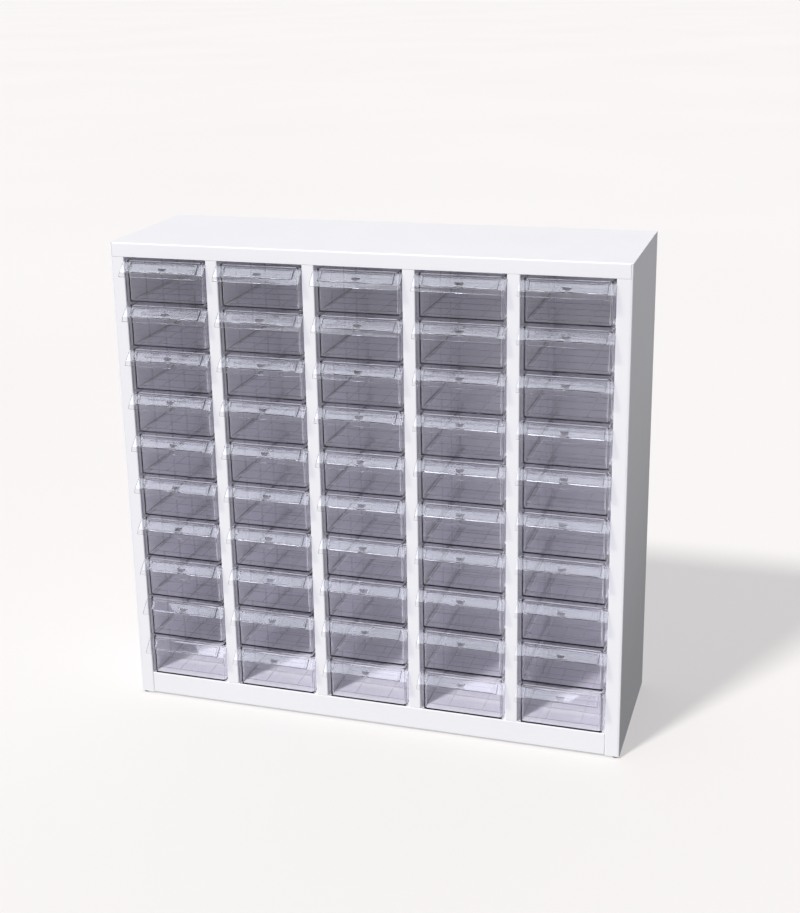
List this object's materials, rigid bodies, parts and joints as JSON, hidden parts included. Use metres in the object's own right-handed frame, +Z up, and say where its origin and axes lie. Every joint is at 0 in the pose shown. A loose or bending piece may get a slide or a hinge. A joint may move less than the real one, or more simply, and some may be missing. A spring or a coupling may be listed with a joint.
{
  "type": "small parts organizer cabinet",
  "caption": "Sheet-steel cabinet with a grid of small clear plastic drawers, each with a slanted label visor that serves as its finger pull.",
  "frame": {"origin": "middle of the object's footprint, on the surface that the feet stand on", "axes": "+X to the right of someone facing the drawers, +Y towards the back, +Z up"},
  "size_m": [0.64, 0.2154, 0.6125],
  "materials": {
    "white_paint": "satin powder coat",
    "clear_plastic": "clear moulded polystyrene, glossy",
    "foot_rubber": "matte",
    "rivet_steel": "dull"
  },
  "bodies": {
    "cabinet": {"top_panel": "white_paint", "left_side_panel": "white_paint", "right_side_panel": "white_paint", "back_panel": "white_paint", "bottom_panel": "white_paint", "column_dividers": "white_paint", "drawer_runners": "white_paint", "rubber_feet": "foot_rubber", "back_rivets": "rivet_steel"},
    "drawer_row01_col1": {"drawer_row01_col1": "clear_plastic"},
    "drawer_row01_col2": {"drawer_row01_col2": "clear_plastic"},
    "drawer_row01_col3": {"drawer_row01_col3": "clear_plastic"},
    "drawer_row01_col4": {"drawer_row01_col4": "clear_plastic"},
    "drawer_row01_col5": {"drawer_row01_col5": "clear_plastic"},
    "drawer_row02_col1": {"drawer_row02_col1": "clear_plastic"},
    "drawer_row02_col2": {"drawer_row02_col2": "clear_plastic"},
    "drawer_row02_col3": {"drawer_row02_col3": "clear_plastic"},
    "drawer_row02_col4": {"drawer_row02_col4": "clear_plastic"},
    "drawer_row02_col5": {"drawer_row02_col5": "clear_plastic"},
    "drawer_row03_col1": {"drawer_row03_col1": "clear_plastic"},
    "drawer_row03_col2": {"drawer_row03_col2": "clear_plastic"},
    "drawer_row03_col3": {"drawer_row03_col3": "clear_plastic"},
    "drawer_row03_col4": {"drawer_row03_col4": "clear_plastic"},
    "drawer_row03_col5": {"drawer_row03_col5": "clear_plastic"},
    "drawer_row04_col1": {"drawer_row04_col1": "clear_plastic"},
    "drawer_row04_col2": {"drawer_row04_col2": "clear_plastic"},
    "drawer_row04_col3": {"drawer_row04_col3": "clear_plastic"},
    "drawer_row04_col4": {"drawer_row04_col4": "clear_plastic"},
    "drawer_row04_col5": {"drawer_row04_col5": "clear_plastic"},
    "drawer_row05_col1": {"drawer_row05_col1": "clear_plastic"},
    "drawer_row05_col2": {"drawer_row05_col2": "clear_plastic"},
    "drawer_row05_col3": {"drawer_row05_col3": "clear_plastic"},
    "drawer_row05_col4": {"drawer_row05_col4": "clear_plastic"},
    "drawer_row05_col5": {"drawer_row05_col5": "clear_plastic"},
    "drawer_row06_col1": {"drawer_row06_col1": "clear_plastic"},
    "drawer_row06_col2": {"drawer_row06_col2": "clear_plastic"},
    "drawer_row06_col3": {"drawer_row06_col3": "clear_plastic"},
    "drawer_row06_col4": {"drawer_row06_col4": "clear_plastic"},
    "drawer_row06_col5": {"drawer_row06_col5": "clear_plastic"},
    "drawer_row07_col1": {"drawer_row07_col1": "clear_plastic"},
    "drawer_row07_col2": {"drawer_row07_col2": "clear_plastic"},
    "drawer_row07_col3": {"drawer_row07_col3": "clear_plastic"},
    "drawer_row07_col4": {"drawer_row07_col4": "clear_plastic"},
    "drawer_row07_col5": {"drawer_row07_col5": "clear_plastic"},
    "drawer_row08_col1": {"drawer_row08_col1": "clear_plastic"},
    "drawer_row08_col2": {"drawer_row08_col2": "clear_plastic"},
    "drawer_row08_col3": {"drawer_row08_col3": "clear_plastic"},
    "drawer_row08_col4": {"drawer_row08_col4": "clear_plastic"},
    "drawer_row08_col5": {"drawer_row08_col5": "clear_plastic"},
    "drawer_row09_col1": {"drawer_row09_col1": "clear_plastic"},
    "drawer_row09_col2": {"drawer_row09_col2": "clear_plastic"},
    "drawer_row09_col3": {"drawer_row09_col3": "clear_plastic"},
    "drawer_row09_col4": {"drawer_row09_col4": "clear_plastic"},
    "drawer_row09_col5": {"drawer_row09_col5": "clear_plastic"},
    "drawer_row10_col1": {"drawer_row10_col1": "clear_plastic"},
    "drawer_row10_col2": {"drawer_row10_col2": "clear_plastic"},
    "drawer_row10_col3": {"drawer_row10_col3": "clear_plastic"},
    "drawer_row10_col4": {"drawer_row10_col4": "clear_plastic"},
    "drawer_row10_col5": {"drawer_row10_col5": "clear_plastic"}
  },
  "joints": [
    {"name": "drawer_row01_col1_slide", "type": "slide", "parent": "cabinet", "child": "drawer_row01_col1", "axis": [0, -1, 0], "range_m": [0, 0.15]},
    {"name": "drawer_row01_col2_slide", "type": "slide", "parent": "cabinet", "child": "drawer_row01_col2", "axis": [0, -1, 0], "range_m": [0, 0.15]},
    {"name": "drawer_row01_col3_slide", "type": "slide", "parent": "cabinet", "child": "drawer_row01_col3", "axis": [0, -1, 0], "range_m": [0, 0.15]},
    {"name": "drawer_row01_col4_slide", "type": "slide", "parent": "cabinet", "child": "drawer_row01_col4", "axis": [0, -1, 0], "range_m": [0, 0.15]},
    {"name": "drawer_row01_col5_slide", "type": "slide", "parent": "cabinet", "child": "drawer_row01_col5", "axis": [0, -1, 0], "range_m": [0, 0.15]},
    {"name": "drawer_row02_col1_slide", "type": "slide", "parent": "cabinet", "child": "drawer_row02_col1", "axis": [0, -1, 0], "range_m": [0, 0.15]},
    {"name": "drawer_row02_col2_slide", "type": "slide", "parent": "cabinet", "child": "drawer_row02_col2", "axis": [0, -1, 0], "range_m": [0, 0.15]},
    {"name": "drawer_row02_col3_slide", "type": "slide", "parent": "cabinet", "child": "drawer_row02_col3", "axis": [0, -1, 0], "range_m": [0, 0.15]},
    {"name": "drawer_row02_col4_slide", "type": "slide", "parent": "cabinet", "child": "drawer_row02_col4", "axis": [0, -1, 0], "range_m": [0, 0.15]},
    {"name": "drawer_row02_col5_slide", "type": "slide", "parent": "cabinet", "child": "drawer_row02_col5", "axis": [0, -1, 0], "range_m": [0, 0.15]},
    {"name": "drawer_row03_col1_slide", "type": "slide", "parent": "cabinet", "child": "drawer_row03_col1", "axis": [0, -1, 0], "range_m": [0, 0.15]},
    {"name": "drawer_row03_col2_slide", "type": "slide", "parent": "cabinet", "child": "drawer_row03_col2", "axis": [0, -1, 0], "range_m": [0, 0.15]},
    {"name": "drawer_row03_col3_slide", "type": "slide", "parent": "cabinet", "child": "drawer_row03_col3", "axis": [0, -1, 0], "range_m": [0, 0.15]},
    {"name": "drawer_row03_col4_slide", "type": "slide", "parent": "cabinet", "child": "drawer_row03_col4", "axis": [0, -1, 0], "range_m": [0, 0.15]},
    {"name": "drawer_row03_col5_slide", "type": "slide", "parent": "cabinet", "child": "drawer_row03_col5", "axis": [0, -1, 0], "range_m": [0, 0.15]},
    {"name": "drawer_row04_col1_slide", "type": "slide", "parent": "cabinet", "child": "drawer_row04_col1", "axis": [0, -1, 0], "range_m": [0, 0.15]},
    {"name": "drawer_row04_col2_slide", "type": "slide", "parent": "cabinet", "child": "drawer_row04_col2", "axis": [0, -1, 0], "range_m": [0, 0.15]},
    {"name": "drawer_row04_col3_slide", "type": "slide", "parent": "cabinet", "child": "drawer_row04_col3", "axis": [0, -1, 0], "range_m": [0, 0.15]},
    {"name": "drawer_row04_col4_slide", "type": "slide", "parent": "cabinet", "child": "drawer_row04_col4", "axis": [0, -1, 0], "range_m": [0, 0.15]},
    {"name": "drawer_row04_col5_slide", "type": "slide", "parent": "cabinet", "child": "drawer_row04_col5", "axis": [0, -1, 0], "range_m": [0, 0.15]},
    {"name": "drawer_row05_col1_slide", "type": "slide", "parent": "cabinet", "child": "drawer_row05_col1", "axis": [0, -1, 0], "range_m": [0, 0.15]},
    {"name": "drawer_row05_col2_slide", "type": "slide", "parent": "cabinet", "child": "drawer_row05_col2", "axis": [0, -1, 0], "range_m": [0, 0.15]},
    {"name": "drawer_row05_col3_slide", "type": "slide", "parent": "cabinet", "child": "drawer_row05_col3", "axis": [0, -1, 0], "range_m": [0, 0.15]},
    {"name": "drawer_row05_col4_slide", "type": "slide", "parent": "cabinet", "child": "drawer_row05_col4", "axis": [0, -1, 0], "range_m": [0, 0.15]},
    {"name": "drawer_row05_col5_slide", "type": "slide", "parent": "cabinet", "child": "drawer_row05_col5", "axis": [0, -1, 0], "range_m": [0, 0.15]},
    {"name": "drawer_row06_col1_slide", "type": "slide", "parent": "cabinet", "child": "drawer_row06_col1", "axis": [0, -1, 0], "range_m": [0, 0.15]},
    {"name": "drawer_row06_col2_slide", "type": "slide", "parent": "cabinet", "child": "drawer_row06_col2", "axis": [0, -1, 0], "range_m": [0, 0.15]},
    {"name": "drawer_row06_col3_slide", "type": "slide", "parent": "cabinet", "child": "drawer_row06_col3", "axis": [0, -1, 0], "range_m": [0, 0.15]},
    {"name": "drawer_row06_col4_slide", "type": "slide", "parent": "cabinet", "child": "drawer_row06_col4", "axis": [0, -1, 0], "range_m": [0, 0.15]},
    {"name": "drawer_row06_col5_slide", "type": "slide", "parent": "cabinet", "child": "drawer_row06_col5", "axis": [0, -1, 0], "range_m": [0, 0.15]},
    {"name": "drawer_row07_col1_slide", "type": "slide", "parent": "cabinet", "child": "drawer_row07_col1", "axis": [0, -1, 0], "range_m": [0, 0.15]},
    {"name": "drawer_row07_col2_slide", "type": "slide", "parent": "cabinet", "child": "drawer_row07_col2", "axis": [0, -1, 0], "range_m": [0, 0.15]},
    {"name": "drawer_row07_col3_slide", "type": "slide", "parent": "cabinet", "child": "drawer_row07_col3", "axis": [0, -1, 0], "range_m": [0, 0.15]},
    {"name": "drawer_row07_col4_slide", "type": "slide", "parent": "cabinet", "child": "drawer_row07_col4", "axis": [0, -1, 0], "range_m": [0, 0.15]},
    {"name": "drawer_row07_col5_slide", "type": "slide", "parent": "cabinet", "child": "drawer_row07_col5", "axis": [0, -1, 0], "range_m": [0, 0.15]},
    {"name": "drawer_row08_col1_slide", "type": "slide", "parent": "cabinet", "child": "drawer_row08_col1", "axis": [0, -1, 0], "range_m": [0, 0.15]},
    {"name": "drawer_row08_col2_slide", "type": "slide", "parent": "cabinet", "child": "drawer_row08_col2", "axis": [0, -1, 0], "range_m": [0, 0.15]},
    {"name": "drawer_row08_col3_slide", "type": "slide", "parent": "cabinet", "child": "drawer_row08_col3", "axis": [0, -1, 0], "range_m": [0, 0.15]},
    {"name": "drawer_row08_col4_slide", "type": "slide", "parent": "cabinet", "child": "drawer_row08_col4", "axis": [0, -1, 0], "range_m": [0, 0.15]},
    {"name": "drawer_row08_col5_slide", "type": "slide", "parent": "cabinet", "child": "drawer_row08_col5", "axis": [0, -1, 0], "range_m": [0, 0.15]},
    {"name": "drawer_row09_col1_slide", "type": "slide", "parent": "cabinet", "child": "drawer_row09_col1", "axis": [0, -1, 0], "range_m": [0, 0.15]},
    {"name": "drawer_row09_col2_slide", "type": "slide", "parent": "cabinet", "child": "drawer_row09_col2", "axis": [0, -1, 0], "range_m": [0, 0.15]},
    {"name": "drawer_row09_col3_slide", "type": "slide", "parent": "cabinet", "child": "drawer_row09_col3", "axis": [0, -1, 0], "range_m": [0, 0.15]},
    {"name": "drawer_row09_col4_slide", "type": "slide", "parent": "cabinet", "child": "drawer_row09_col4", "axis": [0, -1, 0], "range_m": [0, 0.15]},
    {"name": "drawer_row09_col5_slide", "type": "slide", "parent": "cabinet", "child": "drawer_row09_col5", "axis": [0, -1, 0], "range_m": [0, 0.15]},
    {"name": "drawer_row10_col1_slide", "type": "slide", "parent": "cabinet", "child": "drawer_row10_col1", "axis": [0, -1, 0], "range_m": [0, 0.15]},
    {"name": "drawer_row10_col2_slide", "type": "slide", "parent": "cabinet", "child": "drawer_row10_col2", "axis": [0, -1, 0], "range_m": [0, 0.15]},
    {"name": "drawer_row10_col3_slide", "type": "slide", "parent": "cabinet", "child": "drawer_row10_col3", "axis": [0, -1, 0], "range_m": [0, 0.15]},
    {"name": "drawer_row10_col4_slide", "type": "slide", "parent": "cabinet", "child": "drawer_row10_col4", "axis": [0, -1, 0], "range_m": [0, 0.15]},
    {"name": "drawer_row10_col5_slide", "type": "slide", "parent": "cabinet", "child": "drawer_row10_col5", "axis": [0, -1, 0], "range_m": [0, 0.15]}
  ]
}
